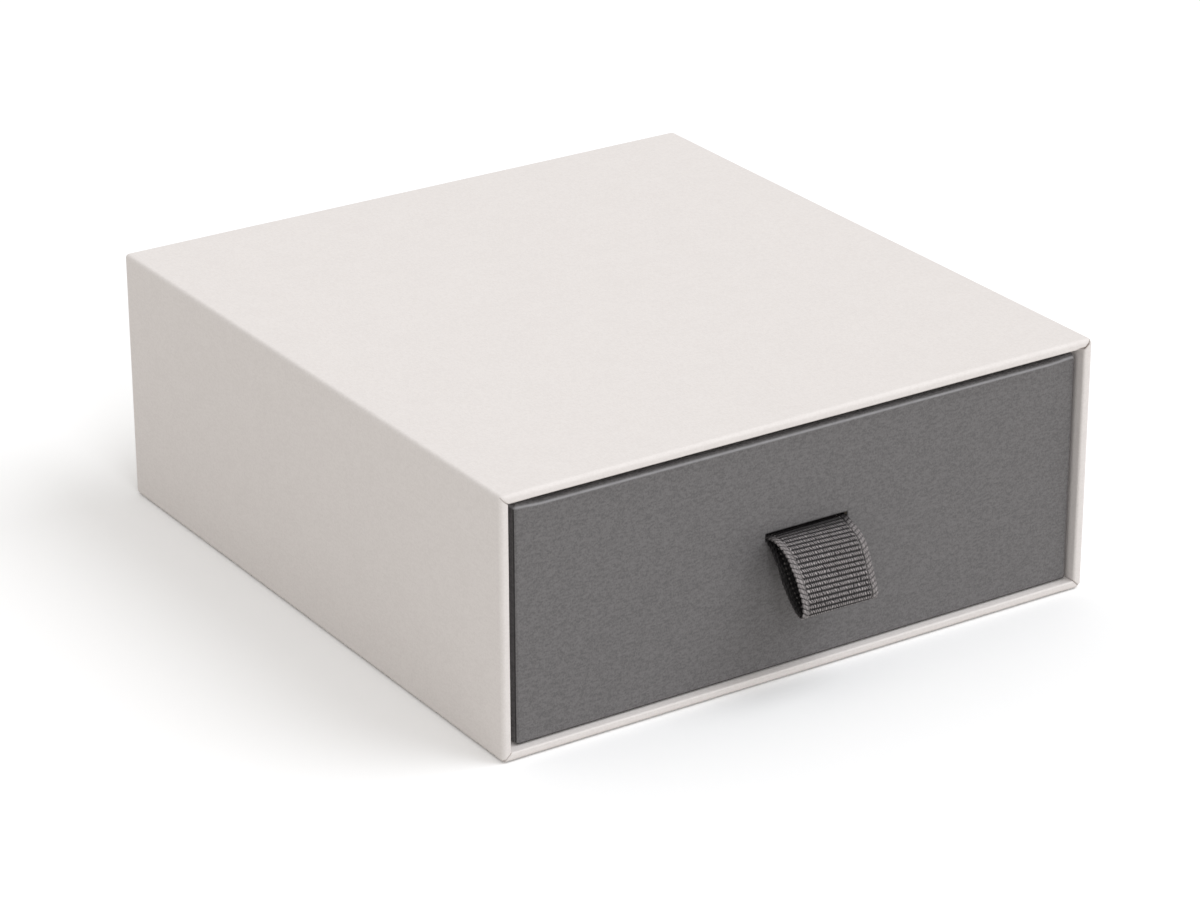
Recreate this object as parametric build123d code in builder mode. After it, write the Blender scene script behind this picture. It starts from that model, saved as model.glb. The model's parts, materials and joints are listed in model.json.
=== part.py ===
from build123d import *
import os

# Sliding drawer gift box: a paper-covered greyboard sleeve, a covered tray that slides out
# of its mouth, and a ribbon loop through the tray's front that pulls it.
#
# Millimetres. The mouth faces -Y and +Z is up. The origin is the middle of the underside
# that the box rests on.

# ---------------------------------------------------------------- driving dimensions
sleeve_width = 145.0
sleeve_depth = 155.0
sleeve_height = 57.5
board = 1.5                 # greyboard of every panel
paper = 0.2                 # covering, lining and base papers
cover_radius = 0.9          # covered outer edges of the sleeve
turn_in = 16.0              # covering paper turned in round the mouth
base_flap = 15.0            # covering paper turned under the base
base_margin = 3.0           # how far the base paper stays inside the outline
turn_in_taper = 2.5         # the side turn-ins narrow by this at each end
mouth_radius = 0.3          # the covered inner edges of the mouth

drawer_width = 137.8
drawer_height = 51.3
front_recess = 1.8          # the drawer's face behind the mouth when the box is shut
back_play = 0.3             # between the shut drawer and the back of the sleeve
floor_play = 0.2            # between the drawer and the floor of the sleeve
drawer_shift = 0.7          # the loose drawer sits a little right of the middle
drawer_radius = 0.6         # covered outer edges of the drawer
rim_radius = 1.0            # covered edges round the drawer's rim
inner_rim_radius = 0.3

stay_leg = 12.0             # gummed tape folded round each board joint
stay_thickness = 0.1
stay_gap = 1.0              # between neighbouring strips

ribbon_width = 20.0
ribbon_thickness = 0.45
pull_shift = 0.55           # the slit's middle, right of the drawer's middle
pull_height = 29.35         # the ribbon where it leaves, above the drawer's underside
slit_length = 20.3
slit_height = 1.6
slit_rise = 0.3             # the slit's middle above the ribbon, which lies low in it
tail_length = 14.0
tail_bend = 0.4             # where the ribbon turns behind the front
tail_play = 0.05            # round the ribbon's ends behind the front
strand_gap = 0.02           # between the two strands where they lie together in the slit

facing_thickness = 1.2      # card behind the ribbon's ends
facing_below_rim = 0.2      # so the front looks twice as thick from above
facing_play = 0.3
facing_radius = 0.3
crush_margin = 0.5          # round the ribbon's ends, where they press into the card

# ---------------------------------------------------------------- places worked out from them
wall = board + 2 * paper                    # a panel covered on both sides
board_radius = cover_radius - paper         # the same edges under the paper
mouth = -sleeve_depth / 2
sleeve_back = sleeve_depth / 2
side = sleeve_width / 2
cover_bottom = paper                        # the covering paper lies on the base paper
inner_floor = cover_bottom + wall
inner_ceiling = sleeve_height - wall
inner_side = side - wall
inner_back = sleeve_back - wall

drawer_left = drawer_shift - drawer_width / 2
drawer_right = drawer_shift + drawer_width / 2
drawer_face = mouth + front_recess
drawer_back = inner_back - back_play
drawer_bottom = inner_floor + floor_play
drawer_rim = drawer_bottom + drawer_height
tray_floor = drawer_bottom + paper + board  # top of the drawer's bottom panel
tray_front = drawer_face + wall             # inner side of the drawer's front
tray_back = drawer_back - wall

pull_x = drawer_shift + pull_shift
pull_z = drawer_bottom + pull_height
ribbon_left = pull_x - ribbon_width / 2

overrun = 1.0                               # how far a cutting tool runs past a face


# ---------------------------------------------------------------- helpers
def block_between(x_low, x_high, y_low, y_high, z_low, z_high):
    """A plain block between pairs of planes."""
    with BuildPart() as block:
        with BuildSketch(Plane.XY.offset(z_low)):
            with Locations(((x_low + x_high) / 2, (y_low + y_high) / 2)):
                Rectangle(x_high - x_low, y_high - y_low)
        extrude(amount=z_high - z_low)
    return block.part


def sleeve_block(inset, radius):
    """The sleeve's outer form, inset from the covering paper, with all its edges rounded."""
    with BuildPart() as form:
        add(block_between(
            inset - side, side - inset,
            mouth + inset, sleeve_back - inset,
            cover_bottom + inset, sleeve_height - inset,
        ))
        fillet(form.edges(), radius)
    return form.part


def sleeve_cavity(grow):
    """The space inside the sleeve, open at the mouth, grown into the walls."""
    return block_between(
        -inner_side - grow, inner_side + grow,
        mouth - overrun, inner_back + grow,
        inner_floor - grow, inner_ceiling + grow,
    )


def drawer_block(inset, radius, top_radius):
    """The drawer's outer form, inset from its covering paper, with rounded edges."""
    with BuildPart() as form:
        add(block_between(
            drawer_left + inset, drawer_right - inset,
            drawer_face + inset, drawer_back - inset,
            drawer_bottom + inset, drawer_rim - inset,
        ))
        fillet(form.edges().filter_by(Axis.Z), radius)
        fillet(form.faces().sort_by(Axis.Z)[0].edges(), radius)
        fillet(form.faces().sort_by(Axis.Z)[-1].edges(), top_radius)
    return form.part


def drawer_cavity(grow, floor):
    """The space inside the drawer, open at the rim, grown into the walls."""
    return block_between(
        drawer_left + wall - grow, drawer_right - wall + grow,
        tray_front - grow, tray_back + grow,
        floor, drawer_rim + overrun,
    )


def export(builder, name):
    """Label a finished piece and write it as a node."""
    builder.part.label = name
    export_step(builder.part, f"parts/{name}.step")


os.makedirs("parts", exist_ok=True)

# ---------------------------------------------------------------- sleeve boards
# The five panels start as one open box of board. They part where the real ones butt:
# top and bottom run right across, the sides stand between them and the back fits inside.
bare_floor = inner_floor - paper
bare_ceiling = inner_ceiling + paper
bare_side = inner_side + paper
bare_back = inner_back + paper

with BuildPart() as sleeve_boards:
    add(sleeve_block(paper, board_radius))
    add(sleeve_cavity(paper), mode=Mode.SUBTRACT)

# Gummed tape is pressed flush into the board along the four long corners and round the back.
# The strips stop short of each other, so none is doubled.
stay_side = side - paper - stay_leg
stay_back = sleeve_back - paper - stay_leg
stay_low = cover_bottom + paper + stay_leg
stay_high = sleeve_height - paper - stay_leg
stay_start = mouth + paper + 2 * board_radius

with BuildPart() as stay_zones:
    for x_low, x_high in ((-side, -stay_side), (stay_side, side)):
        for z_low, z_high in ((0, stay_low), (stay_high, sleeve_height)):
            add(block_between(x_low, x_high, stay_start, stay_back - stay_gap, z_low, z_high))
        add(block_between(
            x_low, x_high, stay_back, sleeve_back, stay_low + stay_gap, stay_high - stay_gap
        ))
    for z_low, z_high in ((0, stay_low), (stay_high, sleeve_height)):
        add(block_between(
            stay_gap - stay_side, stay_side - stay_gap, stay_back, sleeve_back, z_low, z_high
        ))

with BuildPart() as sleeve_corner_stays:
    add(sleeve_block(paper, board_radius))
    add(sleeve_block(paper + stay_thickness, board_radius - stay_thickness), mode=Mode.SUBTRACT)
    add(stay_zones.part, mode=Mode.INTERSECT)
export(sleeve_corner_stays, "sleeve_corner_stays")

with BuildPart() as sleeve_top_board:
    add(sleeve_boards.part)
    split(bisect_by=Plane.XY.offset(bare_ceiling), keep=Keep.TOP)
    add(sleeve_corner_stays.part, mode=Mode.SUBTRACT)
export(sleeve_top_board, "sleeve_top_board")

with BuildPart() as sleeve_bottom_board:
    add(sleeve_boards.part)
    split(bisect_by=Plane.XY.offset(bare_floor), keep=Keep.BOTTOM)
    add(sleeve_corner_stays.part, mode=Mode.SUBTRACT)
export(sleeve_bottom_board, "sleeve_bottom_board")

with BuildPart() as sleeve_middle:
    add(sleeve_boards.part)
    split(bisect_by=Plane.XY.offset(bare_ceiling), keep=Keep.BOTTOM)
    split(bisect_by=Plane.XY.offset(bare_floor), keep=Keep.TOP)

with BuildPart() as sleeve_left_board:
    add(sleeve_middle.part)
    split(bisect_by=Plane.YZ.offset(-bare_side), keep=Keep.BOTTOM)
    add(sleeve_corner_stays.part, mode=Mode.SUBTRACT)
export(sleeve_left_board, "sleeve_left_board")

with BuildPart() as sleeve_right_board:
    add(sleeve_middle.part)
    split(bisect_by=Plane.YZ.offset(bare_side), keep=Keep.TOP)
    add(sleeve_corner_stays.part, mode=Mode.SUBTRACT)
export(sleeve_right_board, "sleeve_right_board")

with BuildPart() as sleeve_back_board:
    add(sleeve_middle.part)
    split(bisect_by=Plane.YZ.offset(-bare_side), keep=Keep.TOP)
    split(bisect_by=Plane.YZ.offset(bare_side), keep=Keep.BOTTOM)
    add(sleeve_corner_stays.part, mode=Mode.SUBTRACT)
export(sleeve_back_board, "sleeve_back_board")

# ---------------------------------------------------------------- sleeve papers
# The covering paper is one skin round the outside, over the mouth's edges and turned in
# behind them. Under the base it ends in flaps, with a window between them.
liner_start = mouth + turn_in
window_x = side - base_flap
window_y = sleeve_back - base_flap

# The turn-ins on the two sides are cut to a taper, so that they fold in past the others.
with BuildPart() as turn_in_cuts:
    for x_low in (-bare_side, inner_side):
        with BuildSketch(Plane.YZ.offset(x_low)):
            for corner_z, taper in ((inner_floor, turn_in_taper), (inner_ceiling, -turn_in_taper)):
                with BuildLine():
                    Polyline(
                        (mouth + mouth_radius, corner_z),
                        (liner_start, corner_z),
                        (liner_start, corner_z + taper),
                        close=True,
                    )
                make_face()
        extrude(amount=paper)


def is_on_mouth(edge):
    """Whether an edge runs round the inside of the sleeve's mouth."""
    middle = edge.center()
    across = abs(middle.X) < inner_side + paper / 2
    between = inner_floor - paper / 2 < middle.Z < inner_ceiling + paper / 2
    return abs(middle.Y - mouth) < paper / 2 and across and between


with BuildPart() as sleeve_wrap:
    add(sleeve_block(0, cover_radius))
    add(sleeve_boards.part, mode=Mode.SUBTRACT)
    add(sleeve_cavity(0), mode=Mode.SUBTRACT)
    add(
        block_between(-bare_side, bare_side, liner_start, bare_back, bare_floor, bare_ceiling),
        mode=Mode.SUBTRACT,
    )
    add(
        block_between(-window_x, window_x, -window_y, window_y, 0, cover_bottom + paper),
        mode=Mode.SUBTRACT,
    )
    fillet(sleeve_wrap.edges().filter_by(is_on_mouth), mouth_radius)
    add(turn_in_cuts.part, mode=Mode.SUBTRACT)
export(sleeve_wrap, "sleeve_wrap")

# The lining meets the turned-in paper edge to edge and covers the rest of the inside.
with BuildPart() as sleeve_liner:
    add(block_between(-bare_side, bare_side, liner_start, bare_back, bare_floor, bare_ceiling))
    add(sleeve_cavity(0), mode=Mode.SUBTRACT)
export(sleeve_liner, "sleeve_liner")

# The base paper lies over the flaps and is pressed up into the window between them.
with BuildPart() as sleeve_base_sheet:
    with BuildSketch(Plane.XY):
        Rectangle(sleeve_width - 2 * base_margin, sleeve_depth - 2 * base_margin)
    extrude(amount=paper)
    with BuildSketch(Plane.XY.offset(paper)):
        Rectangle(2 * window_x, 2 * window_y)
    extrude(amount=paper)
export(sleeve_base_sheet, "sleeve_base_sheet")

# ---------------------------------------------------------------- drawer boards
with BuildPart() as drawer_boards:
    add(drawer_block(paper, drawer_radius - paper, rim_radius - paper))
    add(drawer_cavity(paper, tray_floor), mode=Mode.SUBTRACT)

stay_inner_left = drawer_left + paper + stay_leg
stay_inner_right = drawer_right - paper - stay_leg
stay_inner_front = drawer_face + paper + stay_leg
stay_inner_back = drawer_back - paper - stay_leg

with BuildPart() as tray_corners:
    for x_low, x_high in ((drawer_left, stay_inner_left), (stay_inner_right, drawer_right)):
        for y_low, y_high in ((drawer_face, stay_inner_front), (stay_inner_back, drawer_back)):
            add(block_between(
                x_low, x_high, y_low, y_high,
                drawer_bottom + wall, drawer_rim - wall,
            ))

with BuildPart() as drawer_corner_stays:
    add(drawer_block(paper, drawer_radius - paper, rim_radius - paper))
    add(
        drawer_block(
            paper + stay_thickness, drawer_radius - paper - stay_thickness,
            rim_radius - paper - stay_thickness,
        ),
        mode=Mode.SUBTRACT,
    )
    add(tray_corners.part, mode=Mode.INTERSECT)
export(drawer_corner_stays, "drawer_corner_stays")

# The slit goes through the covering paper, the front panel and the paper behind it.
with BuildPart() as ribbon_slit:
    with BuildSketch(Plane.XZ.offset(overrun - drawer_face)):
        with Locations((pull_x, pull_z + slit_rise)):
            Rectangle(slit_length, slit_height)
    extrude(amount=-(wall + 2 * overrun))

with BuildPart() as drawer_bottom_board:
    add(drawer_boards.part)
    split(bisect_by=Plane.XY.offset(tray_floor), keep=Keep.BOTTOM)
export(drawer_bottom_board, "drawer_bottom_board")

bare_front = tray_front - paper
bare_tray_back = tray_back + paper
bare_left = drawer_left + wall - paper
bare_right = drawer_right - wall + paper

with BuildPart() as drawer_walls:
    add(drawer_boards.part)
    split(bisect_by=Plane.XY.offset(tray_floor), keep=Keep.TOP)
    add(drawer_corner_stays.part, mode=Mode.SUBTRACT)

with BuildPart() as drawer_front_board:
    add(drawer_walls.part)
    split(bisect_by=Plane.XZ.offset(-bare_front), keep=Keep.TOP)
    add(ribbon_slit.part, mode=Mode.SUBTRACT)
export(drawer_front_board, "drawer_front_board")

with BuildPart() as drawer_back_board:
    add(drawer_walls.part)
    split(bisect_by=Plane.XZ.offset(-bare_tray_back), keep=Keep.BOTTOM)
export(drawer_back_board, "drawer_back_board")

with BuildPart() as drawer_sides:
    add(drawer_walls.part)
    split(bisect_by=Plane.XZ.offset(-bare_front), keep=Keep.BOTTOM)
    split(bisect_by=Plane.XZ.offset(-bare_tray_back), keep=Keep.TOP)

with BuildPart() as drawer_left_board:
    add(drawer_sides.part)
    split(bisect_by=Plane.YZ.offset(drawer_shift), keep=Keep.BOTTOM)
export(drawer_left_board, "drawer_left_board")

with BuildPart() as drawer_right_board:
    add(drawer_sides.part)
    split(bisect_by=Plane.YZ.offset(drawer_shift), keep=Keep.TOP)
export(drawer_right_board, "drawer_right_board")

# ---------------------------------------------------------------- drawer papers
def is_on_inner_rim(edge):
    """Whether an edge runs round the inside of the drawer's rim."""
    middle = edge.center()
    across = drawer_left + board < middle.X < drawer_right - board
    between = drawer_face + board < middle.Y < drawer_back - board
    return abs(middle.Z - drawer_rim) < paper / 2 and across and between


# One dark sheet covers the drawer: underside, walls, over the rim and down the inside.
with BuildPart() as drawer_wrap:
    add(drawer_block(0, drawer_radius, rim_radius))
    add(drawer_boards.part, mode=Mode.SUBTRACT)
    add(drawer_cavity(0, tray_floor), mode=Mode.SUBTRACT)
    fillet(drawer_wrap.edges().filter_by(is_on_inner_rim), inner_rim_radius)
    add(ribbon_slit.part, mode=Mode.SUBTRACT)
export(drawer_wrap, "drawer_wrap")

floor_top = tray_floor + paper
with BuildPart() as drawer_floor_liner:
    with BuildSketch(Plane.XY.offset(tray_floor)):
        with Locations((drawer_shift, (tray_front + tray_back) / 2)):
            Rectangle(drawer_width - 2 * wall, tray_back - tray_front)
    extrude(amount=paper)
export(drawer_floor_liner, "drawer_floor_liner")

# ---------------------------------------------------------------- ribbon ends and facing
# Both ends of the ribbon come through the slit, part, and lie flat on the front's inside.
strand_rise = (ribbon_thickness + strand_gap) / 2
tail_y = tray_front + tail_play + ribbon_thickness / 2


def ribbon_tail(direction):
    """One end of the ribbon: through the slit, then up (1) or down (-1) the inside."""
    strand_z = pull_z + direction * strand_rise
    with BuildPart() as tail:
        with BuildSketch(Plane.YZ.offset(ribbon_left)):
            with BuildLine():
                FilletPolyline(
                    (drawer_face + paper, strand_z),
                    (tail_y, strand_z),
                    (tail_y, strand_z + direction * tail_length),
                    radius=tail_bend,
                )
            trace(line_width=ribbon_thickness)
        extrude(amount=ribbon_width)
    return tail.part


with BuildPart() as ribbon_upper_tail:
    add(ribbon_tail(1))
export(ribbon_upper_tail, "ribbon_upper_tail")

with BuildPart() as ribbon_lower_tail:
    add(ribbon_tail(-1))
export(ribbon_lower_tail, "ribbon_lower_tail")

# The facing stands on the drawer's floor, crushed where it presses on the ribbon's ends.
facing_height = drawer_rim - facing_below_rim - floor_top
crush_depth = ribbon_thickness + 2 * tail_play
with BuildPart() as drawer_front_facing:
    with BuildSketch(Plane.XY.offset(floor_top)):
        with Locations((drawer_shift, tray_front + facing_thickness / 2)):
            Rectangle(drawer_width - 2 * wall - 2 * facing_play, facing_thickness)
    extrude(amount=facing_height)
    facing_top = drawer_front_facing.faces().sort_by(Axis.Z)[-1]
    fillet(facing_top.edges().filter_by(Axis.X), facing_radius)
    with BuildSketch(Plane.XZ.offset(-tray_front)):
        with Locations((pull_x, pull_z)):
            Rectangle(
                ribbon_width + 2 * crush_margin,
                2 * (tail_length + strand_rise + crush_margin),
            )
    extrude(amount=-crush_depth, mode=Mode.SUBTRACT)
export(drawer_front_facing, "drawer_front_facing")

# ---------------------------------------------------------------- ribbon loop
# The loop droops from the slit: a full outer strand, a tight fold at the bottom and an inner
# strand that hangs closer to the drawer. It swings about the line where it leaves the slit.
# Corners are (distance out from the drawer's face, height above its root), and the ribbon
# rounds each of them at its own radius.
loop_root = 0.85
loop_corners = [
    (loop_root, strand_rise),
    (7.5, strand_rise),         # the outer strand leaves the slit level and turns down
    (12.0, -7.6),               # its belly
    (11.3, -14.9),              # the fold
    (4.1, -7.7),                # the inner strand
    (loop_root, -strand_rise),
]
loop_radii = [9.0, 8.0, 1.0, 7.0]

with BuildPart() as ribbon_loop:
    with BuildSketch(Plane.YZ.offset(ribbon_left)):
        with BuildLine():
            corners = [(drawer_face - out, pull_z + rise) for out, rise in loop_corners]
            ribbon_line = FilletPolyline(*corners, radius=loop_radii)
        trace(line_width=ribbon_thickness)
        with Locations((drawer_face - loop_root, pull_z)):
            Circle(ribbon_thickness)
    extrude(amount=ribbon_width)
export(ribbon_loop, "ribbon_loop")
print("ribbon outside the drawer:", round(ribbon_line.length, 1), "mm")
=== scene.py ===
import json
from math import cos, pi, radians, sin

import bmesh
import bpy
import numpy as np
from mathutils import Matrix, Vector, noise


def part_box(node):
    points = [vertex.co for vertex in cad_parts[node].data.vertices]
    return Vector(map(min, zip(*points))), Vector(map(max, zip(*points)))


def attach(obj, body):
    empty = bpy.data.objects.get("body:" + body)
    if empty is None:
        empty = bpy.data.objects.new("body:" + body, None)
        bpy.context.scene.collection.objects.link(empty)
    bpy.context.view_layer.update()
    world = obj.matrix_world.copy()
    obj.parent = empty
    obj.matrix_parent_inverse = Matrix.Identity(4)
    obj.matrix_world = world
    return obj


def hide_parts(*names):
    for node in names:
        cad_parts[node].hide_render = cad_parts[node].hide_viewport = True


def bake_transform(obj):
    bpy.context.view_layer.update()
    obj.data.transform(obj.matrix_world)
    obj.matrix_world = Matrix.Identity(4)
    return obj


# A paper-covered sleeve with a drawer that slides out of its mouth and a ribbon loop to pull it.
# Everything is in the frame's own place: +Z up, the mouth towards -Y, metres.
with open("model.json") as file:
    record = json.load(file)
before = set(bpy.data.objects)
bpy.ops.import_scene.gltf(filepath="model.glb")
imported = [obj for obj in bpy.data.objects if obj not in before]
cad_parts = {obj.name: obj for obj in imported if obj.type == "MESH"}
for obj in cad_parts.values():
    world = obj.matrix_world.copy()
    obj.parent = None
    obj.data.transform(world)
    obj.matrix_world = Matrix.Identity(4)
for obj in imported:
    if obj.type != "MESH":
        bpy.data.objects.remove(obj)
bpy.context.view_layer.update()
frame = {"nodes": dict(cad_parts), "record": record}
nodes = frame["nodes"]
MM = 0.001


# ---------------------------------------------------------------- sizes in millimetres
def box_mm(node):
    """The low and high corners of a node's box in the frame."""
    low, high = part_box(node)
    return np.array(low) / MM, np.array(high) / MM


SLEEVE_LOW, SLEEVE_HIGH = box_mm("sleeve_wrap")
DRAWER_LOW, DRAWER_HIGH = box_mm("drawer_wrap")
WALL = 1.9                  # a board with paper on both sides
SKIN = 0.19                 # thickness of the covering papers
COVER_RADIUS = 0.9          # the sleeve's outer edges
DRAWER_RADIUS = 0.6         # the drawer's outer edges
MOUTH_RADIUS = 0.35         # the inner edges of the sleeve's mouth
TURN_IN = 16.0              # how far the covering goes on inside the mouth
TURN_IN_TAPER = 2.5
RIM_OUTER_RADIUS = 1.0
RIM_INNER_RADIUS = 0.3
TRAY_FLOOR = DRAWER_LOW[2] + 1.7        # on the bottom board and its covering

UPPER_TAIL, LOWER_TAIL = box_mm("ribbon_upper_tail"), box_mm("ribbon_lower_tail")
RIBBON_WIDTH = UPPER_TAIL[1][0] - UPPER_TAIL[0][0]
RIBBON_MIDDLE = (UPPER_TAIL[1][0] + UPPER_TAIL[0][0]) / 2
DRAWER_FACE = DRAWER_LOW[1]
RIBBON_HEIGHT = (UPPER_TAIL[0][2] + LOWER_TAIL[1][2]) / 2
SLIT_HEIGHT = RIBBON_HEIGHT + 0.3       # the ribbon lies low in the slit
SLIT_HALF_LENGTH = 10.08
SLIT_HALF_HEIGHT = 0.75


# ---------------------------------------------------------------- mesh helpers
def smooth(x):
    x = np.clip(x, 0.0, 1.0)
    return x * x * (3 - 2 * x)


def soft_noise(points, wavelength, seed):
    """Smooth noise from -1 to 1 at points in millimetres."""
    shift = Vector((seed * 13.7, seed * 5.3, seed * 9.1))
    return np.array([noise.noise(Vector(p) / wavelength + shift) for p in points])


def make_object(name, vertices, faces, body, material, marks=None, uvs=None):
    """A mesh piece from points in millimetres, riding on a body.

    Its marks are dark creases and painted shade where they are above nothing, and painted
    highlights where below."""
    mesh = bpy.data.meshes.new(name)
    mesh.from_pydata([tuple(p) for p in np.asarray(vertices) * MM], [], faces)
    if marks is not None:
        layer = mesh.attributes.new("mark", "FLOAT", "POINT")
        layer.data.foreach_set("value", np.asarray(marks, np.float32))
    if uvs is not None:
        layer = mesh.uv_layers.new(name="cloth")
        loops = np.zeros(len(mesh.loops), int)
        mesh.loops.foreach_get("vertex_index", loops)
        layer.data.foreach_set("uv", np.asarray(uvs, np.float32)[loops].ravel())
    edit = bmesh.new()
    edit.from_mesh(mesh)
    bmesh.ops.remove_doubles(edit, verts=edit.verts, dist=1e-7)
    bmesh.ops.recalc_face_normals(edit, faces=edit.faces)
    edit.to_mesh(mesh)
    edit.free()
    for polygon in mesh.polygons:
        polygon.use_smooth = True
    mesh.materials.append(material)
    piece = bpy.data.objects.new(name, mesh)
    bpy.context.scene.collection.objects.link(piece)
    if body:
        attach(piece, body)
    return piece


def graded(half, offsets, step, extra=()):
    """Places from -half to half, close together near both ends, with some extra ones."""
    places = set()
    for offset in offsets:
        places |= {round(half - offset, 4), round(offset - half, 4)}
    inner = half - offsets[-1]
    count = max(2, int(round(2 * inner / step)))
    places |= {round(v, 4) for v in np.linspace(-inner, inner, count + 1)}
    for place in extra:
        places = {v for v in places if abs(v - place) > 0.05 or abs(abs(v) - half) < 0.02}
        places.add(place)
    return sorted(v for v in places if abs(v) < half - 1e-3)


LEAST_BEND = 0.05           # the smallest corner radius of a ring near its outline
SQUARE_FROM = 3.0           # rings inset this far have square corners, as their patch has


class Ring:
    """A rounded rectangle, as columns of a grid, that can be drawn at any inset."""

    def __init__(self, centre, half, radius, places_a, places_b, corner_steps):
        self.centre, self.half, self.radius = centre, half, radius
        # Each column is its side, its share along that side or None, its angle on the corner
        # after that side or None, and its distance to the nearest corner.
        self.columns = []
        runs = [places_a, [-v for v in reversed(places_b)], [-v for v in places_a], places_b]
        for side, run in enumerate(runs):
            length = self.half[side % 2] - radius
            for place in run:
                self.columns.append((side, place / length, None, length - abs(place)))
            for angle in corner_steps:
                self.columns.append((side, None, radians(angle), 0.0))

    def at(self, inset):
        """Points and outward directions of all the columns at an inset from the outline."""
        bend = max(self.radius - inset, LEAST_BEND if inset < SQUARE_FROM else 0.0)
        reach = self.half[0] - inset - bend, self.half[1] - inset - bend
        points, outward = [], []
        for side, place, angle, _ in self.columns:
            if place is None:
                turn = -side * pi / 2 + pi / 2 - angle
                ahead = (cos(turn), sin(turn))
                corner = [(1, 1), (1, -1), (-1, -1), (-1, 1)][side]
                point = (
                    corner[0] * reach[0] + bend * ahead[0],
                    corner[1] * reach[1] + bend * ahead[1],
                )
            elif side == 0:
                ahead, point = (0, 1), (place * reach[0], self.half[1] - inset)
            elif side == 1:
                ahead, point = (1, 0), (self.half[0] - inset, place * reach[1])
            elif side == 2:
                ahead, point = (0, -1), (place * reach[0], inset - self.half[1])
            else:
                ahead, point = (-1, 0), (inset - self.half[0], place * reach[1])
            points.append((self.centre[0] + point[0], self.centre[1] + point[1]))
            outward.append(ahead)
        return np.array(points), np.array(outward, float)

    def patch(self, inset):
        """The grid that fills the ring at an inset, as rows of points."""
        reach = self.half[0] - inset, self.half[1] - inset
        a = [-1.0] + [c[1] for c in self.columns if c[0] == 0 and c[1] is not None] + [1.0]
        b = [-1.0] + [c[1] for c in self.columns if c[0] == 3 and c[1] is not None] + [1.0]
        return (
            self.centre[0] + np.array(a) * reach[0],
            self.centre[1] + np.array(b) * reach[1],
        )


def arc(centre_d, centre_w, radius, start, end, steps):
    """Rows (inset, place, outward share, place share) of a rounded edge."""
    rows = []
    for angle in np.linspace(radians(start), radians(end), steps):
        out, along = cos(angle), sin(angle)
        rows.append((centre_d - radius * out, centre_w + radius * along, out, along))
    return rows


def tube_faces(rows, columns):
    """The faces of a grid whose last column meets its first."""
    faces = []
    for row in range(rows - 1):
        for column in range(columns):
            after = (column + 1) % columns
            faces.append((
                row * columns + column, row * columns + after,
                (row + 1) * columns + after, (row + 1) * columns + column,
            ))
    return faces


def sweep(ring, rows, axis, change):
    """A grid of ring columns by profile rows, closed over the last row by a flat patch.

    change(points, normals, row) moves the points and gives each its mark; row is None for the
    patch."""
    others = [i for i in range(3) if i != axis]
    vertices, marks = [], []
    columns = len(ring.columns)
    for index, (inset, place, out, along) in enumerate(rows):
        flat, ahead = ring.at(inset)
        points = np.zeros((columns, 3))
        points[:, others[0]], points[:, others[1]] = flat[:, 0], flat[:, 1]
        points[:, axis] = place
        normals = np.zeros((columns, 3))
        normals[:, others[0]], normals[:, others[1]] = out * ahead[:, 0], out * ahead[:, 1]
        normals[:, axis] = along
        moved, mark = change(points, normals, index)
        vertices.extend(moved)
        marks.extend(mark)
    faces = tube_faces(len(rows), columns)
    a, b = ring.patch(rows[-1][0])
    start = len(vertices)
    points = np.zeros((len(a) * len(b), 3))
    points[:, others[0]] = np.repeat(a, len(b))
    points[:, others[1]] = np.tile(b, len(a))
    points[:, axis] = rows[-1][1]
    normals = np.zeros_like(points)
    normals[:, axis] = rows[-1][3]
    moved, mark = change(points, normals, None)
    vertices.extend(moved)
    marks.extend(mark)
    for i in range(len(a) - 1):
        for j in range(len(b) - 1):
            first = start + i * len(b) + j
            faces.append((first, first + 1, first + len(b) + 1, first + len(b)))
    return np.array(vertices), faces, np.array(marks)


def thicken(piece, thickness):
    """Gives a skin its paper's thickness, inwards."""
    modifier = piece.modifiers.new("paper", "SOLIDIFY")
    modifier.thickness = thickness * MM
    modifier.offset = -1.0
    modifier.use_even_offset = False
    return piece


# ---------------------------------------------------------------- material helpers
def new_material(name):
    material = bpy.data.materials.new(name)
    material.use_nodes = True
    tree = material.node_tree
    tree.nodes.clear()
    output = tree.nodes.new("ShaderNodeOutputMaterial")
    shader = tree.nodes.new("ShaderNodeBsdfPrincipled")
    tree.links.new(shader.outputs["BSDF"], output.inputs["Surface"])
    return material, tree, shader


def put(tree, kind, links=(), **settings):
    """Adds a node, sets its own properties and links its inputs."""
    node = tree.nodes.new(kind)
    for key, value in settings.items():
        setattr(node, key, value)
    for socket, value in dict(links).items():
        if isinstance(value, bpy.types.NodeSocket):
            tree.links.new(value, node.inputs[socket])
        else:
            node.inputs[socket].default_value = value
    return node


def math(tree, operation, a, b=0.0):
    node = put(tree, "ShaderNodeMath", {0: a, 1: b}, operation=operation)
    return node.outputs[0]


def grain(tree, coordinates, size_mm, detail=2.0, roughness=0.5, stretch=None):
    """Noise of a real size, from 0 to 1."""
    vector = coordinates
    if stretch:
        mapping = put(tree, "ShaderNodeMapping", {"Vector": coordinates, "Scale": stretch})
        vector = mapping.outputs[0]
    node = put(tree, "ShaderNodeTexNoise", {
        "Vector": vector, "Scale": 1000.0 / size_mm, "Detail": detail, "Roughness": roughness,
    })
    return node.outputs["Fac"]


def ramp(tree, value, low, high, to_low=0.0, to_high=1.0):
    node = put(tree, "ShaderNodeMapRange", {
        "Value": value, "From Min": low, "From Max": high, "To Min": to_low, "To Max": to_high,
    })
    return node.outputs["Result"]


def mix_colours(tree, share, low, high):
    """A colour between two others, each of which is a plain colour or a socket."""
    ends = [end if isinstance(end, bpy.types.NodeSocket) else (*end, 1.0) for end in (low, high)]
    node = put(tree, "ShaderNodeMix", {0: share, 6: ends[0], 7: ends[1]}, data_type="RGBA")
    return node.outputs[2]


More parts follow.
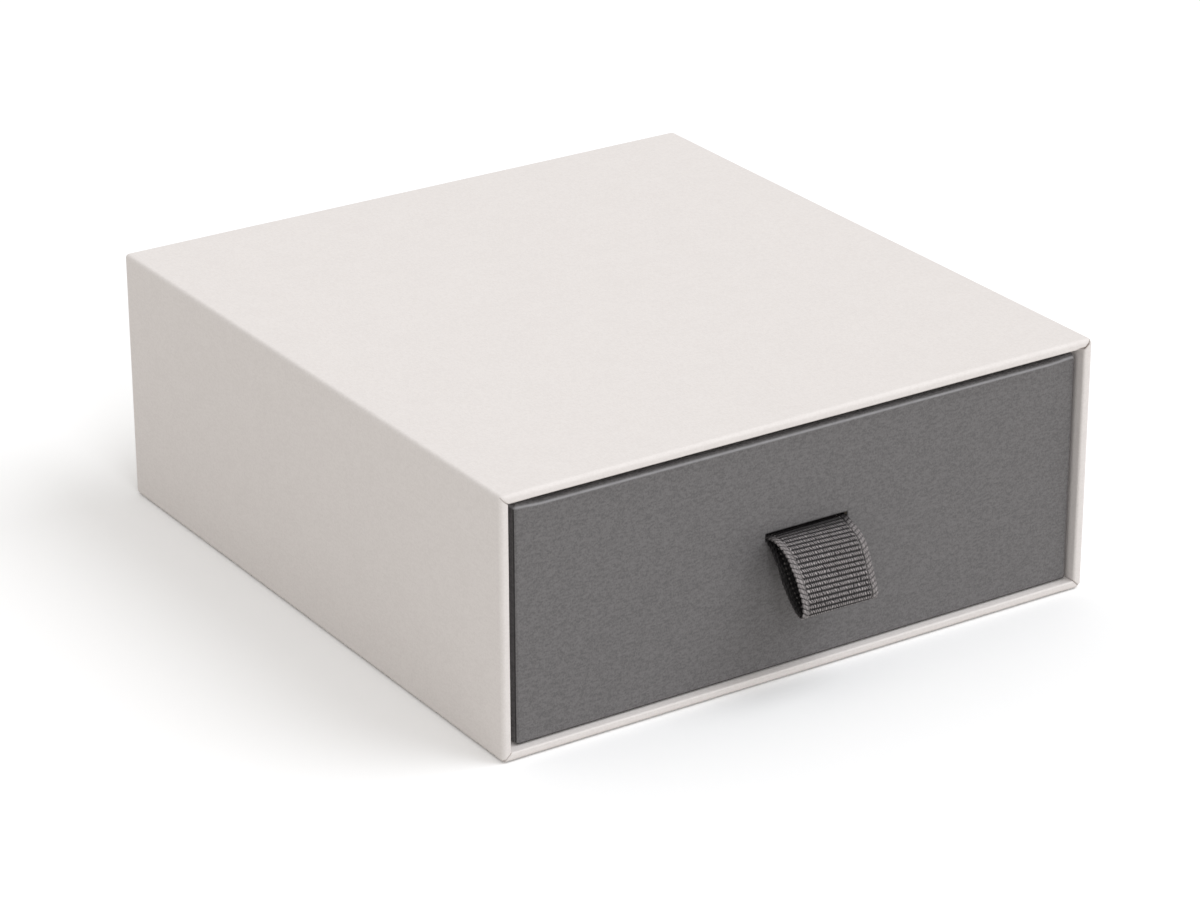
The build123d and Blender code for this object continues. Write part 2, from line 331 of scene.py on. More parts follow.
def add_bump(tree, shader, height, strength, distance):
    bump = put(tree, "ShaderNodeBump", {
        "Height": height, "Strength": strength, "Distance": distance,
    })
    tree.links.new(bump.outputs["Normal"], shader.inputs["Normal"])


def paper_material(
    name, colour, dark, crease_and_shade_colour, painted_highlight_colour, mottle, tooth, rough, relief, gloss=0.3
):
    """Uncoated covering paper: faint clouds, a fine speckled tooth and short fibres."""
    material, tree, shader = new_material(name)
    place = put(tree, "ShaderNodeTexCoord").outputs["Object"]
    cloud = grain(tree, place, 6.0, 5.0, 0.65)
    speck = grain(tree, place, 0.32, 1.0, 0.5)
    long_fibre = grain(tree, place, 0.36, 1.0, 0.5, stretch=(1.0, 0.3, 0.8))
    cross_fibre = grain(tree, place, 0.36, 1.0, 0.5, stretch=(0.3, 1.0, 0.7))
    threads = math(tree, "MULTIPLY", long_fibre, cross_fibre)
    shade = math(tree, "ADD", ramp(tree, cloud, 0.3, 0.7, -mottle, mottle),
                 ramp(tree, speck, 0.2, 0.8, -tooth, tooth))
    shade = math(tree, "ADD", shade, ramp(tree, threads, 0.12, 0.4, tooth, -tooth))
    clean = mix_colours(tree, ramp(tree, shade, -0.5, 0.5), dark, colour)
    # Marks above nothing darken the paper, for dark seams and creases and for painted shade; marks
    # below nothing lighten it with a painted highlight.
    mark = put(tree, "ShaderNodeAttribute", attribute_name="mark").outputs["Fac"]
    uneven = ramp(tree, grain(tree, place, 2.5, 3.0, 0.7), 0.3, 0.7, 0.75, 1.0)
    painted_highlight_share = math(tree, "MULTIPLY", ramp(tree, mark, -1.0, 0.0, 1.0, 0.0), uneven)
    light = mix_colours(tree, painted_highlight_share, clean, painted_highlight_colour)
    creased_and_shaded = mix_colours(tree, ramp(tree, mark, 0.0, 1.0), light, crease_and_shade_colour)
    tree.links.new(creased_and_shaded, shader.inputs["Base Color"])
    roughness = ramp(tree, speck, 0.2, 0.8, rough - 0.05, rough + 0.05)
    tree.links.new(roughness, shader.inputs["Roughness"])
    height = math(tree, "ADD", speck, math(tree, "MULTIPLY", threads, 1.5))
    add_bump(tree, shader, height, relief, 0.00005)
    shader.inputs["Specular IOR Level"].default_value = gloss
    return material


def board_material():
    """Greyboard: grey-brown pulp with flecks."""
    material, tree, shader = new_material("greyboard")
    place = put(tree, "ShaderNodeTexCoord").outputs["Object"]
    pulp = grain(tree, place, 1.6, 4.0, 0.7)
    fleck = grain(tree, place, 0.5, 2.0, 0.6, stretch=(1.0, 0.35, 2.5))
    grey = mix_colours(
        tree, ramp(tree, pulp, 0.3, 0.7), (0.25, 0.22, 0.18), (0.36, 0.325, 0.27)
    )
    flecked = mix_colours(tree, ramp(tree, fleck, 0.66, 0.74), grey, (0.12, 0.1, 0.09))
    tree.links.new(flecked, shader.inputs["Base Color"])
    shader.inputs["Roughness"].default_value = 0.9
    add_bump(tree, shader, pulp, 0.5, 0.0002)
    return material


def tape_material():
    """Gummed brown paper tape."""
    material, tree, shader = new_material("stay_tape")
    place = put(tree, "ShaderNodeTexCoord").outputs["Object"]
    pulp = grain(tree, place, 0.8, 3.0, 0.6)
    band = put(tree, "ShaderNodeTexWave", {"Vector": place, "Scale": 400.0, "Distortion": 1.5})
    mixed = math(tree, "ADD", math(tree, "MULTIPLY", pulp, 0.8),
                 math(tree, "MULTIPLY", band.outputs["Fac"], 0.2))
    brown = mix_colours(tree, mixed, (0.3, 0.19, 0.1), (0.47, 0.32, 0.19))
    tree.links.new(brown, shader.inputs["Base Color"])
    shader.inputs["Roughness"].default_value = 0.7
    return material


THREAD = 0.56               # from thread to thread of the ribbon, in millimetres


def ribbon_material():
    """Grosgrain: fine slanted threads that run over each rib, with painted shade between the ribs.

    Its cloth coordinates are millimetres across the ribbon and ribs along it."""
    material, tree, shader = new_material("ribbon")
    cloth = put(tree, "ShaderNodeUVMap", uv_map="cloth").outputs["UV"]
    split = put(tree, "ShaderNodeSeparateXYZ", {"Vector": cloth})
    across, along = split.outputs[0], split.outputs[1]

    def cloth_noise(scale, detail):
        node = put(tree, "ShaderNodeTexNoise", {"Vector": cloth, "Scale": scale, "Detail": detail})
        return node.outputs["Fac"]

    wander = cloth_noise(0.9, 2.0)
    wandering = math(tree, "MULTIPLY", math(tree, "SUBTRACT", wander, 0.5), 1.2)
    rib = math(tree, "FLOOR", along)
    slant = math(tree, "ADD", math(tree, "MULTIPLY", along, -0.3),
                 math(tree, "MULTIPLY", rib, 0.19))
    phase = math(tree, "ADD", math(tree, "ADD", across, slant), wandering)
    thread = math(tree, "SINE", math(tree, "MULTIPLY", phase, 2 * pi / THREAD))
    fuzz = cloth_noise(3.6, 3.0)
    patchy = cloth_noise(0.45, 3.0)
    painted_shade = put(tree, "ShaderNodeAttribute", attribute_name="mark").outputs["Fac"]
    from_middle = math(tree, "ABSOLUTE", across)
    edge = ramp(tree, from_middle, 8.35, 8.5)
    light = math(tree, "ADD", ramp(tree, thread, -0.8, 0.8, -0.15, 1.1),
                 ramp(tree, fuzz, 0.3, 0.7, -0.3, 0.3))
    light = math(tree, "ADD", light, ramp(tree, patchy, 0.35, 0.65, -0.12, 0.12))
    smoother = math(tree, "ADD", math(tree, "MULTIPLY", light, 0.3), 0.5)
    even_light = put(
        tree, "ShaderNodeMix", {0: edge, 2: light, 3: smoother}, data_type="FLOAT"
    ).outputs[0]
    woven = mix_colours(tree, even_light, (0.03, 0.026, 0.028), (0.40, 0.372, 0.374))
    # Marks paint shade here: between the ribs, beside the edges' ropes, by the slit, under the
    # loop's fold and on the face inside the loop.
    deep = mix_colours(tree, painted_shade, woven, (0.006, 0.005, 0.006))
    # One light loop of the chain stitch lies at each rib's end, and shows most on the right.
    groove = math(tree, "MULTIPLY", ramp(tree, from_middle, 8.02, 8.1),
                  ramp(tree, from_middle, 8.22, 8.3, 1.0, 0.0))
    beat = math(tree, "FRACT", along)
    stitch = math(tree, "MULTIPLY", ramp(tree, beat, 0.25, 0.4),
                  ramp(tree, beat, 0.6, 0.75, 1.0, 0.0))
    stitch = math(tree, "MULTIPLY", stitch, ramp(tree, across, -1.0, 1.0, 0.25, 0.85))
    stitched = mix_colours(
        tree, math(tree, "MULTIPLY", groove, stitch), deep, (0.60, 0.57, 0.56)
    )
    tree.links.new(stitched, shader.inputs["Base Color"])
    shader.inputs["Roughness"].default_value = 0.5
    shader.inputs["Specular IOR Level"].default_value = 0.4
    height = math(tree, "ADD", math(tree, "MULTIPLY", thread, 0.5),
                  math(tree, "MULTIPLY", fuzz, 0.5))
    add_bump(tree, shader, height, 1.0, 0.00015)
    return material


SLEEVE_PAPER = paper_material(
    "sleeve_paper", (0.826, 0.791, 0.775), (0.784, 0.748, 0.732), (0.13, 0.085, 0.06),
    (0.87, 0.84, 0.82), 0.22, 0.5, 0.72, 0.4, 0.35,
)
LINING_PAPER = paper_material(
    "lining_paper", (0.79, 0.745, 0.70), (0.73, 0.68, 0.63), (0.15, 0.10, 0.07),
    (0.84, 0.80, 0.76), 0.2, 0.35, 0.85, 0.3,
)
# On the drawer paper the nearly black colour serves its creases and painted shade, and the lighter
# grey is a painted highlight.
DRAWER_PAPER = paper_material(
    "drawer_paper", (0.178, 0.173, 0.177), (0.118, 0.115, 0.118), (0.012, 0.012, 0.013),
    (0.40, 0.40, 0.42), 0.03, 0.5, 0.40, 0.3, 0.5,
)
GREYBOARD = board_material()
STAY_TAPE = tape_material()
RIBBON = ribbon_material()

slot_material = {
    "sleeve_paper": SLEEVE_PAPER, "lining_paper": LINING_PAPER, "drawer_paper": DRAWER_PAPER,
    "greyboard": GREYBOARD, "stay_tape": STAY_TAPE, "ribbon": RIBBON,
}
for subpart in frame["record"]["subparts"]:
    node = nodes[subpart["node"]]
    node.data.materials.clear()
    node.data.materials.append(slot_material[subpart["material_slot"]])


# ---------------------------------------------------------------- sleeve covering
CORNER_STEPS = [0, 12, 24, 34, 41, 45, 49, 56, 66, 78, 90]
NEAR_CORNER = [0.06, 0.14, 0.24, 0.36, 0.5, 0.7, 1.0, 1.5, 2.3, 3.6, 5.5, 8.0, 11.0, 15.0]


def sleeve_profile():
    """Rows from the turned-in paper's edge, over the mouth, along the outside, to the back."""
    mouth, back = SLEEVE_LOW[1], SLEEVE_HIGH[1]
    rows = [(WALL, mouth + y, -1.0, 0.0) for y in (TURN_IN, 15.8, 12, 8, 5, 3, 1.8, 1.0, 0.6)]
    rows += arc(WALL - MOUTH_RADIUS, mouth + MOUTH_RADIUS, MOUTH_RADIUS, 180, 270, 6)
    start, end = WALL - MOUTH_RADIUS, COVER_RADIUS
    rows += [(d, mouth, 0.0, -1.0) for d in np.linspace(start, end, 7)[1:-1]]
    rows += arc(COVER_RADIUS, mouth + COVER_RADIUS, COVER_RADIUS, -90, 0, 11)
    rows += [(0.0, mouth + y, 1.0, 0.0) for y in (1.0, 1.3, 1.9, 3, 5, 8, 12, 16)]
    rows += [(0.0, y, 1.0, 0.0) for y in np.linspace(mouth + 20, back - 14, 28)]
    rows += [(0.0, back - y, 1.0, 0.0) for y in (9, 5, 3, 1.9, 1.3, 1.0)]
    rows += arc(COVER_RADIUS, back - COVER_RADIUS, COVER_RADIUS, 0, 90, 8)
    rows += [(d, back, 0.0, 1.0) for d in (1.1, 1.5, 2.5, 4.0)]
    return rows


half_x = (SLEEVE_HIGH[0] - SLEEVE_LOW[0]) / 2
half_z = (SLEEVE_HIGH[2] - SLEEVE_LOW[2]) / 2
middle_z = (SLEEVE_HIGH[2] + SLEEVE_LOW[2]) / 2
sleeve_ring = Ring(
    (0.0, middle_z), (half_x, half_z), COVER_RADIUS,
    graded(half_x - COVER_RADIUS, NEAR_CORNER, 4.5),
    graded(half_z - COVER_RADIUS, NEAR_CORNER, 4.0), CORNER_STEPS,
)
sleeve_rows = sleeve_profile()
sleeve_sides = np.array([c[0] for c in sleeve_ring.columns])
sleeve_corner = np.array([c[1] is None for c in sleeve_ring.columns])
sleeve_near = np.array([c[3] for c in sleeve_ring.columns])

# The mitred seams at the mouth's corners: how dark, how wide, how far each sags to one side,
# how dark the pinhole is where the folds meet at the outside, and how far the lip's end gapes,
# with painted shade in the gap.
SEAMS = {
    (-1, 1): (0.62, 0.11, 0.20, 0.25, 0.0), (1, 1): (1.0, 0.2, 0.06, 0.7, 0.75),
    (1, -1): (0.6, 0.14, -0.05, 1.0, 0.0), (-1, -1): (0.6, 0.11, 0.04, 1.0, 0.0),
}
SEAM_REACH = 4.5            # how far from its corner a seam is drawn
SEAM_DEPTH = 0.14           # how deep it is pressed in
LAP = 0.05                  # how far the top and bottom papers stand over the side ones


def seam_at(points):
    """How much of a mitred seam runs through each point of the mouth's edge."""
    depth = np.zeros(len(points))
    for (side_x, side_z), (dark, width, sag, pinhole, lip) in SEAMS.items():
        from_x = half_x - side_x * points[:, 0]
        from_z = half_z - side_z * (points[:, 2] - middle_z)
        here = (from_x < SEAM_REACH) & (from_z < SEAM_REACH)
        run = np.clip(np.minimum(from_x, from_z) / WALL, 0.0, 1.0)
        off = (from_x - from_z) / np.sqrt(2) + sag * np.sin(pi * run)
        line = np.exp(-(off / width) ** 2) * dark * (0.75 + 0.25 * run)
        hole = np.exp(-((off / 0.2) ** 2 + ((run * WALL - 0.25) / 0.22) ** 2)) * pinhole
        # The fold gapes along the end of the lip, pressed in a little, and painted shade darkens
        # it.
        gape_shade = np.exp(-((from_z - WALL + 0.2) / 0.17) ** 2) * smooth((4.4 - from_x) / 1.6) * lip
        gape_shade = np.where(from_x > WALL - 0.3, gape_shade, 0.0)
        depth = np.where(here, np.maximum(np.maximum(line, hole), gape_shade), depth)
    return depth


def shape_sleeve(points, normals, row):
    """Paper drawn over board: faint unevenness, and folded mitres at the mouth's corners."""
    points = points.copy()
    creases_and_painted_light = np.zeros(len(points))
    wave = 0.03 * soft_noise(points, 26.0, 1) + 0.01 * soft_noise(points, 6.0, 2)
    if row is not None:
        inset, place, out, along = sleeve_rows[row]
        front = place < SLEEVE_LOW[1] + COVER_RADIUS and inset < WALL + 0.01
        if place < SLEEVE_LOW[1] + 1.0:
            # The turned edges wrinkle along their length.
            wave = wave + 0.02 * soft_noise(points * np.array([1, 6, 1]), 9.0, 3 + row % 4)
        if front:
            onto_face = smooth((-along - 0.05) / 0.5)
            seam = seam_at(points)
            wave = wave - onto_face * SEAM_DEPTH * seam
            creases_and_painted_light = onto_face * seam
            # Top and bottom papers lap over the side ones.
            over = (sleeve_sides % 2 == 0) & ~sleeve_corner
            wave = wave + onto_face * LAP * over * smooth((6.0 - sleeve_near) / 5.0)
        if inset > WALL - 0.01 and out < -0.5:
            # The side turn-ins are cut to a taper.
            beside = (sleeve_sides % 2 == 1) & ~sleeve_corner
            share = np.clip((sleeve_near + 0.12) / TURN_IN_TAPER, 0.0, 1.0)
            run = place - SLEEVE_LOW[1] - MOUTH_RADIUS
            points[:, 1] -= np.where(beside, run * (1 - share), 0.0)
            wave = wave * 0.3
    points += normals * wave[:, None]
    return points, creases_and_painted_light


vertices, faces, marks = sweep(sleeve_ring, sleeve_rows, 1, shape_sleeve)
sleeve_cover = make_object(
    "sleeve_cover", vertices, faces, "sleeve", SLEEVE_PAPER, marks=marks
)
thicken(sleeve_cover, SKIN)
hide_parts("sleeve_wrap")

# ---------------------------------------------------------------- drawer covering
drawer_centre = (DRAWER_LOW[:2] + DRAWER_HIGH[:2]) / 2
drawer_half = (DRAWER_HIGH[:2] - DRAWER_LOW[:2]) / 2
AROUND_SLIT = (0.0, 0.12, 0.3, 0.5, 0.8)        # extra columns and rows past its cut edge
LIFT_ENDS, LIFT_SIDES = 0.42, 0.34              # how far the rim's folded corners stand up
PRESSED_IN = 0.07                               # the paper round the slit
# The front's run of columns goes from right to left, so its places are turned round.
slit_places = [
    drawer_centre[0] - RIBBON_MIDDLE + side * (SLIT_HALF_LENGTH + gap)
    for side in (-1, 1) for gap in (-0.25, *AROUND_SLIT)
]


def drawer_profile():
    """Rows from the inside's foot, over the rim, down the outside and under the drawer."""
    low, rim = DRAWER_LOW[2], DRAWER_HIGH[2]
    slit = [SLIT_HEIGHT + side * (SLIT_HALF_HEIGHT + gap)
            for side in (-1, 1) for gap in (-0.2, *AROUND_SLIT)]
    inner = sorted([TRAY_FLOOR, TRAY_FLOOR + 0.4, TRAY_FLOOR + 2.5, 12, 18, 24, 28.5]
                   + slit + [rim - d for d in (16, 12, 8, 5, 3, 1.6, 0.8, 0.5)])
    rows = [(WALL, z, -1.0, 0.0) for z in inner]
    rows += arc(WALL - RIM_INNER_RADIUS, rim - RIM_INNER_RADIUS, RIM_INNER_RADIUS, 180, 90, 5)
    rows += [(d, rim, 0.0, 1.0) for d in (1.4, 1.2)]
    rows += arc(RIM_OUTER_RADIUS, rim - RIM_OUTER_RADIUS, RIM_OUTER_RADIUS, 90, 0, 10)
    outer = sorted([rim - d for d in (1.2, 1.6, 2.1, 2.8, 3.6, 5, 7.5, 11, 15)]
                   + slit + [27, 22, 17, 12, 8, 5.5, 4.2, low + 1.0], reverse=True)
    rows += [(0.0, z, 1.0, 0.0) for z in outer]
    rows += arc(DRAWER_RADIUS, low + DRAWER_RADIUS, DRAWER_RADIUS, 0, -90, 8)
    rows += [(d, low, 0.0, -1.0) for d in (0.8, 1.2, 1.6, 3.0, 5.0)]
    return rows


drawer_ring = Ring(
    drawer_centre, drawer_half, DRAWER_RADIUS,
    graded(drawer_half[0] - DRAWER_RADIUS, NEAR_CORNER, 4.5, slit_places),
    graded(drawer_half[1] - DRAWER_RADIUS, NEAR_CORNER, 5.0), CORNER_STEPS,
)
drawer_rows = drawer_profile()
drawer_near = np.array([c[3] for c in drawer_ring.columns])
drawer_sides = np.array([c[0] for c in drawer_ring.columns])
drawer_flank = np.array([
    c[1] is None and (c[2] < pi / 5 if c[0] == 1 else c[0] == 2 and c[2] > pi / 3.2)
    for c in drawer_ring.columns
])
drawer_diagonal = np.array([
    c[1] is None and abs(c[2] - pi / 4) < 0.01 for c in drawer_ring.columns
])


def shape_drawer(points, normals, row):
    """The covering is drawn tight, and bulks up where it folds at the rim's corners."""
    points = points.copy()
    creases_and_painted_light = np.zeros(len(points))
    wave = 0.03 * soft_noise(points, 24.0, 11) + 0.01 * soft_noise(points, 5.0, 12)
    if row is not None:
        inset, place, out, along = drawer_rows[row]
        below = DRAWER_HIGH[2] - place
        lift = smooth(1 - drawer_near / 6.0) * smooth(1 - below / 2.5)
        points[:, 2] += lift * np.where(drawer_sides % 2 == 0, LIFT_ENDS, LIFT_SIDES)
        if below < 0.02:
            creases_and_painted_light = np.where(drawer_diagonal, 0.85, 0.0)
            wave = wave - 0.15 * drawer_diagonal
        if below < 1.6 and out > -0.1:
            # The folded edge rolls a little along its length.
            wave = wave + 0.03 * soft_noise(points * np.array([1, 1, 3]), 7.0, 13)
        # A painted highlight lightens the dark paper along the fold of the rim's outer edge.
        if out > 0.05 and along > 0.05:
            painted_highlight_share = np.exp(-((along - 0.42) / 0.2) ** 2)
            creases_and_painted_light = np.where(drawer_diagonal, creases_and_painted_light, creases_and_painted_light - painted_highlight_share)
        # On the outer walls a painted highlight runs down each upright corner, and painted shade
        # darkens the sides of the front corners that face the sleeve's walls.
        if out == 1.0:
            creases_and_painted_light = creases_and_painted_light - 0.55 * drawer_diagonal
            creases_and_painted_light = np.where(drawer_flank, 0.8, creases_and_painted_light)
        # Painted shade darkens the lower edge, down where it meets the sleeve's floor.
        if along < -0.3 and inset < 1.0:
            creases_and_painted_light = np.full(len(points), 0.9)
        in_front = drawer_sides == 2
        beyond_x = np.abs(points[:, 0] - RIBBON_MIDDLE) - SLIT_HALF_LENGTH
        beyond_z = abs(place - SLIT_HEIGHT) - SLIT_HALF_HEIGHT
        if beyond_z < 0.3:
            # The paper is pressed in round the slit's cut edge, and painted shade darkens a thin
            # ring along that edge.
            edge = np.maximum(beyond_x, beyond_z)
            lip = in_front & (edge < 0.3)
            wave = wave - np.where(lip, PRESSED_IN * smooth(1 - np.abs(edge) / 0.3), 0.0)
            creases_and_painted_light = np.where(lip & (edge < 0.15), 0.85, creases_and_painted_light)
    points += normals * wave[:, None]
    return points, creases_and_painted_light


vertices, faces, marks = sweep(drawer_ring, drawer_rows, 2, shape_drawer)
front_limit = DRAWER_FACE + WALL + 0.5


def in_slit(face):
    middle = vertices[list(face)].mean(axis=0)
    return (
        middle[1] < front_limit
        and abs(middle[0] - RIBBON_MIDDLE) < SLIT_HALF_LENGTH
        and abs(middle[2] - SLIT_HEIGHT) < SLIT_HALF_HEIGHT
    )


faces = [face for face in faces if not in_slit(face)]
drawer_cover = make_object(
    "drawer_cover", vertices, faces, "drawer", DRAWER_PAPER, marks=marks
)
thicken(drawer_cover, SKIN)
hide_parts("drawer_wrap")

# ---------------------------------------------------------------- ribbon
# The ribbon's two edges, as (distance out from the drawer's face, height above its root).
# The loop hangs with a slight twist: its right edge lies closer to the drawer and lower.
# Its two strands leave the slit one on the other.
UPPER_STRAND, LOWER_STRAND = 0.2, -0.2
LEFT_EDGE = [
    (0.0, UPPER_STRAND), (1.3, 0.35), (3.1, 0.4), (5.6, -0.4), (7.7, -1.85), (9.2, -3.55),
    (10.6, -5.25), (11.5, -6.95), (12.4, -8.65), (12.85, -10.35), (12.85, -11.9), (12.2, -12.75),
    (11.1, -12.5), (8.8, -10.85), (7.0, -8.95), (5.3, -6.85), (4.1, -4.8), (2.6, -3.0),
    (1.0, -1.2), (0.0, LOWER_STRAND),
]
RIGHT_EDGE = [
    (0.0, UPPER_STRAND), (1.2, -0.15), (3.2, -0.95), (5.0, -1.85), (6.6, -3.2), (7.7, -5.0),
    (8.6, -6.9), (9.5, -8.7), (10.3, -10.6), (10.95, -12.1), (11.0, -13.1), (10.3, -13.95),
    (9.3, -13.7), (7.6, -12.0), (5.9, -10.0), (4.3, -7.7), (2.8, -4.8), (1.2, -1.7),
    (0.0, LOWER_STRAND),
]
BEHIND = WALL + 0.275           # how far behind the face the glued ends lie
TAIL = 14.0                     # how far they run along it
TAIL_BEND = 0.4
RIB = 1.04                      # from rib to rib
ROWS_PER_RIB = 8
RIB_HEIGHT = 0.19
LEAST_HEIGHT = 0.07             # half the cloth's thickness between the ribs
PRESSED_HEIGHT = 0.17           # the same inside the slit
CHANNEL = 8.4                   # the groove beside the edge's rope, from the ribbon's middle
SELVAGE = 8.38                  # where that rope starts
ROPE_MIDDLE, ROPE_HALF = 9.15, 0.87


def curve_through(points, count):
    """Points of a smooth line through the given ones."""
    points = np.array(points, float)
    gaps = np.sqrt(np.linalg.norm(np.diff(points, axis=0), axis=1))
    knots = np.concatenate(([0.0], np.cumsum(gaps)))
    slopes = np.gradient(points, knots, axis=0)
    out = []
    for t in np.linspace(0, knots[-1], count):
        i = min(np.searchsorted(knots, t, side="right") - 1, len(points) - 2)
        h = knots[i + 1] - knots[i]
        s = (t - knots[i]) / h
        out.append(
            (2 * s**3 - 3 * s**2 + 1) * points[i] + (s**3 - 2 * s**2 + s) * h * slopes[i]
            + (3 * s**2 - 2 * s**3) * points[i + 1] + (s**3 - s**2) * h * slopes[i + 1]
        )
    return np.array(out)


def distances(line):
    """How far along a line each of its points is."""
    return np.concatenate(([0.0], np.cumsum(np.linalg.norm(np.diff(line, axis=0), axis=1))))


def even(line, count):
    """The same line at even steps along its length."""
    steps = distances(line)
    places = np.linspace(0, steps[-1], count)
    return np.stack([np.interp(places, steps, line[:, k]) for k in range(line.shape[1])], 1)


def tail_line(direction):
    """From a glued end to the slit's outer edge, up (1) or down (-1) behind the front."""
    rise = UPPER_STRAND if direction > 0 else LOWER_STRAND
    points = [(-BEHIND, rise + direction * y) for y in np.linspace(TAIL, TAIL_BEND, 12)]
    for angle in np.linspace(0, pi / 2, 7)[1:]:
        points.append((
            -BEHIND + TAIL_BEND * (1 - cos(angle)),
            rise + direction * TAIL_BEND * (1 - sin(angle)),
        ))
    points += [(-1.2, rise), (-0.6, rise)]
    return points


def whole_edge(outside):
    """One edge of the ribbon, from the upper glued end round the loop to the lower one."""
    return np.array([*tail_line(1), *curve_through(outside, 400), *tail_line(-1)[::-1]])


left_edge, right_edge = whole_edge(LEFT_EDGE), whole_edge(RIGHT_EDGE)
ribbon_length = (distances(left_edge)[-1] + distances(right_edge)[-1]) / 2
ribs = int(round(ribbon_length / RIB))
row_count = ribs * ROWS_PER_RIB + 1
left_line, right_line = even(left_edge, row_count), even(right_edge, row_count)

half_width = RIBBON_WIDTH / 2
edge_places = [8.0, 8.1, 8.2, 8.3, 8.4, 8.5, 8.62, 8.8, 9.0, 9.25, 9.5, 9.7, 9.86, 9.96]
across = sorted([-v for v in edge_places] + list(np.linspace(-7.9, 7.9, 27)) + edge_places)
across = np.array(across)

row_place = np.linspace(0, ribbon_length, row_count)
share = (across + half_width) / (2 * half_width)
right_share = share[None, :, None]
middle = left_line[:, None, :] * (1 - right_share) + right_line[:, None, :] * right_share
surface = np.zeros((row_count, len(across), 3))
surface[:, :, 0] = RIBBON_MIDDLE + across[None, :]
surface[:, :, 1] = DRAWER_FACE - middle[:, :, 0]
surface[:, :, 2] = RIBBON_HEIGHT + middle[:, :, 1]
along_step = np.gradient(surface, axis=0)
across_step = np.gradient(surface, axis=1)
normal = np.cross(along_step, across_step)
normal /= np.linalg.norm(normal, axis=2)[:, :, None]

# Each rib is a round cord under the threads; its ends turn back as a rope-like edge, sewn down
# along a chain of stitches.
rib_place = row_place / ribbon_length * ribs
rib_phase = rib_place % 1.0
rib_height = np.abs(np.sin(pi * rib_phase))
from_middle = np.abs(across)
body_part = 1 - smooth((from_middle - 8.05) / 0.2)
channel = np.exp(-((from_middle - CHANNEL) / 0.11) ** 2)
selvage = smooth((from_middle - SELVAGE) / 0.2)
rope = np.sqrt(np.clip(1 - ((from_middle - ROPE_MIDDLE) / ROPE_HALF) ** 2, 0, 1))
leaning = (rib_phase[:, None] + 0.5 * (from_middle[None, :] - 8.8)) % 1.0
picot = np.abs(np.sin(pi * leaning)) ** 0.7
height = LEAST_HEIGHT + np.maximum(
    RIB_HEIGHT * rib_height[:, None] ** 0.8 * body_part[None, :],
    (0.10 + 0.17 * picot) * rope[None, :] * selvage[None, :],
)
surface[:, :, 0] += (
    0.2 * (picot - 0.6) * smooth((from_middle - 9.2) / 0.7)[None, :] * np.sign(across)[None, :]
)
# Painted shade darkens the valleys between the ribs, the channel beside each edge's rope and the
# dips between its picots.
painted_shade = smooth((0.92 - rib_height) / 0.6)[:, None] * body_part[None, :]
painted_shade = np.maximum(painted_shade, channel[None, :])
painted_shade = np.maximum(painted_shade, smooth((0.72 - picot) / 0.5) * selvage[None, :] * 0.9)

# Inside the slit the ribbon is pressed flat, and next to it painted shade darkens it, fading out
# over 3.4 mm from the drawer's face.
pressed = smooth((surface[:, :, 1] - DRAWER_FACE + 0.2) / 0.5)
height = height * (1 - pressed) + PRESSED_HEIGHT * pressed
slit_shade = smooth(1 - (DRAWER_FACE - surface[:, :, 1]) / 3.4)
# The strand under the fold at the loop's bottom is in its own shade. The glued ends, which hang
# lower than the fold, are kept out of the search for it.
near_drawer = middle[:, :, 0].mean(axis=1) < 6
fold_row = int(np.argmin(middle[:, :, 1].mean(axis=1) + 50 * near_drawer))
under = smooth((row_place - row_place[fold_row]) / 3.0)[:, None]
painted_shade = np.clip(painted_shade + 0.85 * slit_shade, 0.0, 1.0)
painted_shade = painted_shade + (1 - painted_shade) * 0.62 * under

upper = surface + normal * height[:, :, None]
lower = surface - normal * height[:, :, None]
loop = np.concatenate([upper, lower[:, ::-1, :]], axis=1)
# Painted shade darkens the ribbon's other face, inside the loop.
inside = 0.8 + 0.2 * painted_shade[:, ::-1]
loop_marks = np.concatenate([painted_shade, inside], axis=1)
ring_size = loop.shape[1]
vertices = loop.reshape(-1, 3)
uv_across = np.concatenate([across, across[::-1]])
uvs = np.stack([np.tile(uv_across, row_count), np.repeat(rib_place, ring_size)], 1)
faces = tube_faces(row_count, ring_size)
last = (row_count - 1) * ring_size
width_count = len(across)
for column in range(width_count - 1):
    opposite = ring_size - 1 - column
    faces.append((column, column + 1, opposite - 1, opposite))
    faces.append((last + column, last + opposite, last + opposite - 1, last + column + 1))
ribbon = make_object(
    "ribbon", vertices, faces, None, RIBBON, marks=loop_marks.ravel(), uvs=uvs
)
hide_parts("ribbon_loop", "ribbon_upper_tail", "ribbon_lower_tail")
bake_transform(ribbon)

# ---------------------------------------------------------------- floor, light and camera
FLOOR_REACH = 4.0               # metres to each side
floor_corners = [
    (FLOOR_REACH * x, FLOOR_REACH * y, 0) for x, y in ((-1, -1), (1, -1), (1, 1), (-1, 1))
]
floor_mesh = bpy.data.meshes.new("floor")
floor_mesh.from_pydata(floor_corners, [], [(0, 1, 2, 3)])
floor = bpy.data.objects.new("floor", floor_mesh)
bpy.context.scene.collection.objects.link(floor)
floor_material = bpy.data.materials.new("floor")
floor_material.use_nodes = True
tree = floor_material.node_tree
tree.nodes.clear()
output = tree.nodes.new("ShaderNodeOutputMaterial")
seen = put(tree, "ShaderNodeLightPath").outputs["Is Camera Ray"]
# The camera sees a white floor that keeps its shadow; the box is lit by a duller one.
tint = mix_colours(tree, seen, (0.74, 0.725, 0.705), (1.08, 1.09, 1.10))
matte = put(tree, "ShaderNodeBsdfDiffuse", {"Color": tint})
tree.links.new(matte.outputs["BSDF"], output.inputs["Surface"])
floor_mesh.materials.append(floor_material)

